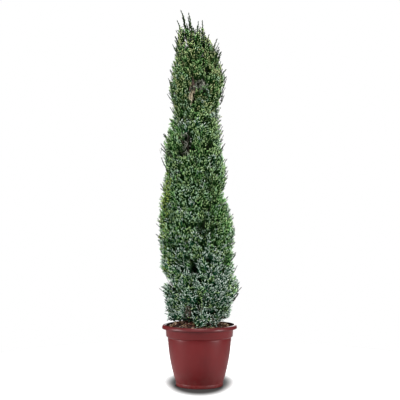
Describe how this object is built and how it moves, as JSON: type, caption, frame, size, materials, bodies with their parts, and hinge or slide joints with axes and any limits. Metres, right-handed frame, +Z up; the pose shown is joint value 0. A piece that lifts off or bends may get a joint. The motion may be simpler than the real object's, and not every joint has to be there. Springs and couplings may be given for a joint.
{
  "type": "potted italian cypress tree",
  "caption": "Young Italian cypress: a narrow upright column of scale-leaved foliage round one trunk, in a round plastic nursery pot filled with soil.",
  "frame": {"origin": "middle of the pot's flat underside, on the surface that the pot stands on", "axes": "+Z up along the pot's axis; -Y is the front of the crown, where its bare patch and its dead limb show; +X is to the right seen from the front"},
  "size_m": [0.3185, 0.3108, 1.511],
  "materials": {
    "pot": "smooth injection-moulded, semi-matt",
    "soil": "rough, moist potting mix",
    "bark": "thin fibrous grey-brown bark",
    "foliage": "matt scale leaves with a faint bluish bloom"
  },
  "bodies": {
    "root": {"bare_bough": "bark", "bough_lower_1": "bark", "bough_lower_2": "bark", "bough_lower_3": "bark", "bough_lower_4": "bark", "bough_lower_5": "bark", "bough_middle_1": "bark", "bough_middle_2": "bark", "bough_middle_3": "bark", "bough_middle_4": "bark", "bough_middle_5": "bark", "bough_skirt_1": "bark", "bough_skirt_2": "bark", "bough_skirt_3": "bark", "bough_skirt_4": "bark", "bough_skirt_5": "bark", "bough_top_1": "bark", "bough_top_2": "bark", "bough_top_3": "bark", "bough_top_4": "bark", "bough_top_5": "bark", "bough_upper_1": "bark", "bough_upper_2": "bark", "bough_upper_3": "bark", "bough_upper_4": "bark", "bough_upper_5": "bark", "foliage_leader": "foliage", "foliage_lower_1": "foliage", "foliage_lower_2": "foliage", "foliage_lower_3": "foliage", "foliage_lower_4": "foliage", "foliage_lower_5": "foliage", "foliage_middle_1": "foliage", "foliage_middle_2": "foliage", "foliage_middle_3": "foliage", "foliage_middle_4": "foliage", "foliage_middle_5": "foliage", "foliage_skirt_1": "foliage", "foliage_skirt_2": "foliage", "foliage_skirt_3": "foliage", "foliage_skirt_4": "foliage", "foliage_skirt_5": "foliage", "foliage_top_1": "foliage", "foliage_top_2": "foliage", "foliage_top_3": "foliage", "foliage_top_4": "foliage", "foliage_top_5": "foliage", "foliage_upper_1": "foliage", "foliage_upper_2": "foliage", "foliage_upper_3": "foliage", "foliage_upper_4": "foliage", "foliage_upper_5": "foliage", "pot": "pot", "soil": "soil", "trunk": "bark"}
  },
  "joints": []
}
